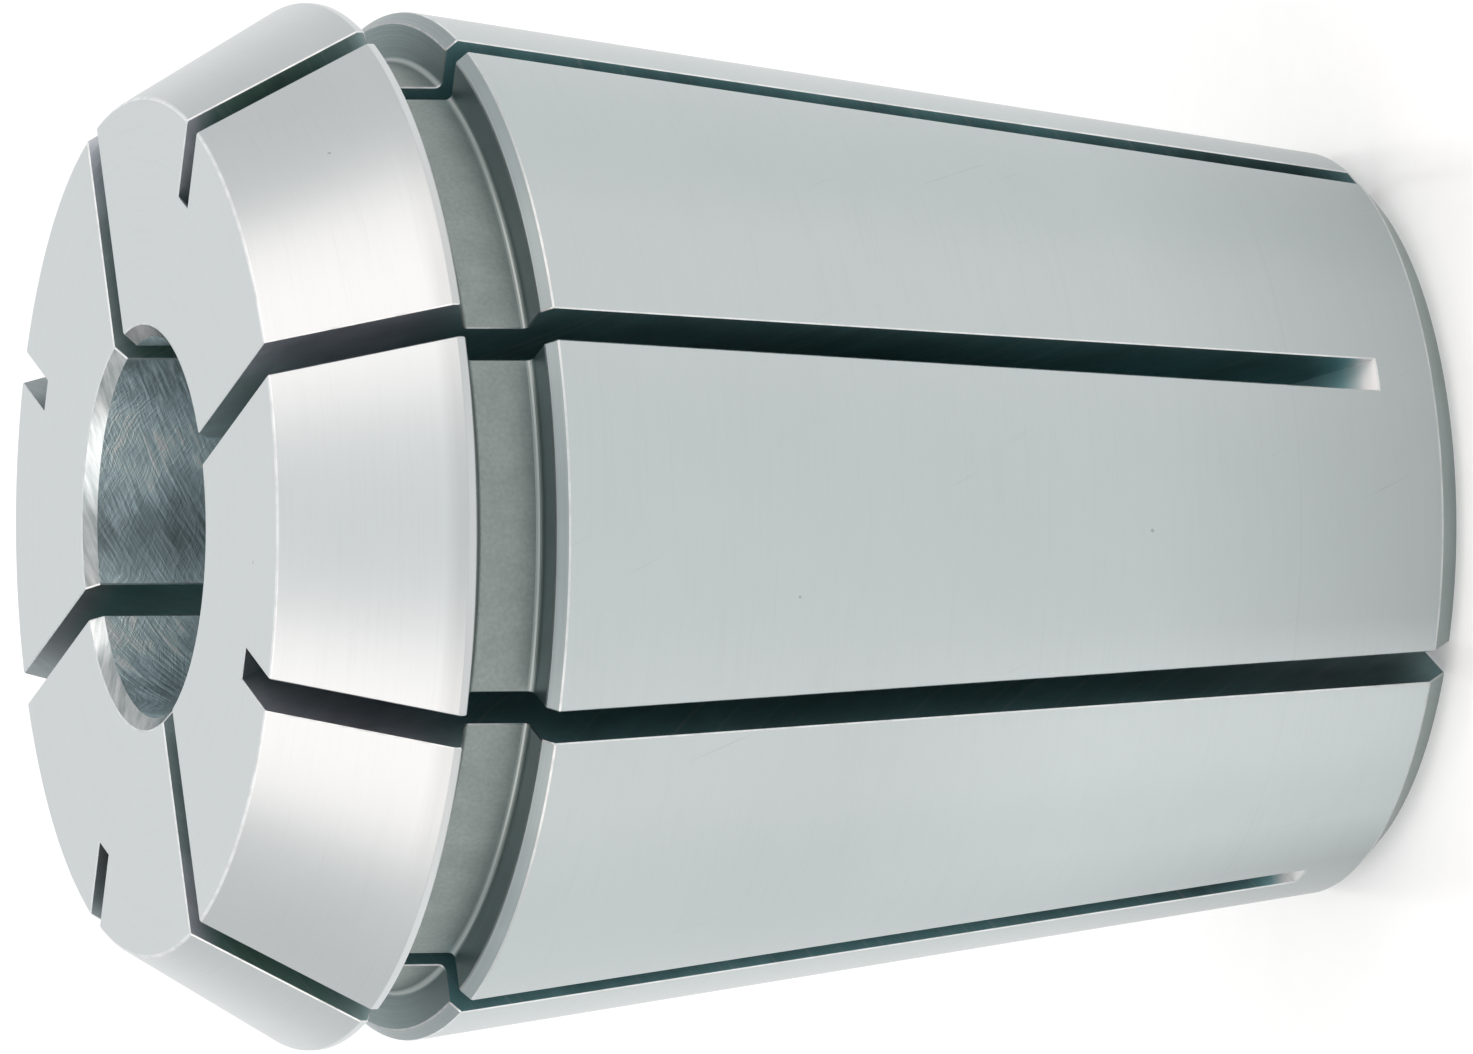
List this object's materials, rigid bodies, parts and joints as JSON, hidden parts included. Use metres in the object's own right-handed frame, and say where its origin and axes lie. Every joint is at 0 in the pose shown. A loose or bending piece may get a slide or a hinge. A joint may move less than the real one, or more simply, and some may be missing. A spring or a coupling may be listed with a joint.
{
  "type": "er collet",
  "caption": "Slotted steel tapping collet with a long outer taper, a nut cone, a pull-out groove, a round clamping bore and a square drive socket.",
  "frame": {"origin": "centre of the small rear end, which the collet stands on", "axes": "+Z along the collet's axis, from the rear end to the face; +X and +Y square to the flats of the drive socket"},
  "size_m": [0.033, 0.033, 0.04],
  "materials": {
    "ground_steel": "hardened steel, ground satin on the tapers and the face, matt in the groove and the saw slots"
  },
  "bodies": {
    "root": {"collet": "ground_steel"}
  },
  "joints": []
}
